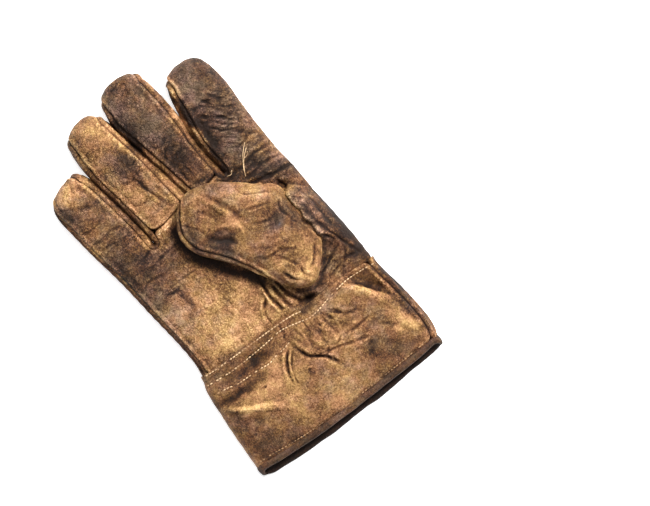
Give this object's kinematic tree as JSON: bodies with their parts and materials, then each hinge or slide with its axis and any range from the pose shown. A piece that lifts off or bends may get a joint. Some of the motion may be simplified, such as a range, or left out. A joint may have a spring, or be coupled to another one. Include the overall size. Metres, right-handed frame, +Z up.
{
  "type": "worn leather work glove",
  "caption": "Worn leather work glove for the right hand, laid flat palm up with the thumb folded over the palm, hollow, with an open cuff.",
  "frame": {"origin": "centre of the box of the flattened glove, on the surface it lies on", "axes": "+Y to the fingertips, +Z up from the surface with the palm side up, +X to the index finger's side"},
  "size_m": [0.147, 0.2614, 0.0278],
  "materials": {
    "palm_leather": "worn grain leather, mottled tan and grey-brown, dry and matt",
    "back_leather": "worn grain leather, tan-brown, matt",
    "fourchette_leather": "tan grain leather, less soiled",
    "thumb_leather": "worn tan leather with dark grey-blue grime",
    "cuff_leather": "tan-gold worn leather with brown stains",
    "binding_leather": "dark purplish-brown leather tape",
    "thread": "cream sewing thread"
  },
  "bodies": {
    "root": {"palm": "palm_leather", "ring_front": "palm_leather", "middle_front": "palm_leather", "back": "back_leather", "fourchette_little_ring": "fourchette_leather", "fourchette_ring_middle": "fourchette_leather", "fourchette_middle_index": "fourchette_leather", "thumb_upper": "thumb_leather", "thumb_lower": "thumb_leather", "cuff": "cuff_leather", "hem_binding": "binding_leather"}
  },
  "joints": []
}
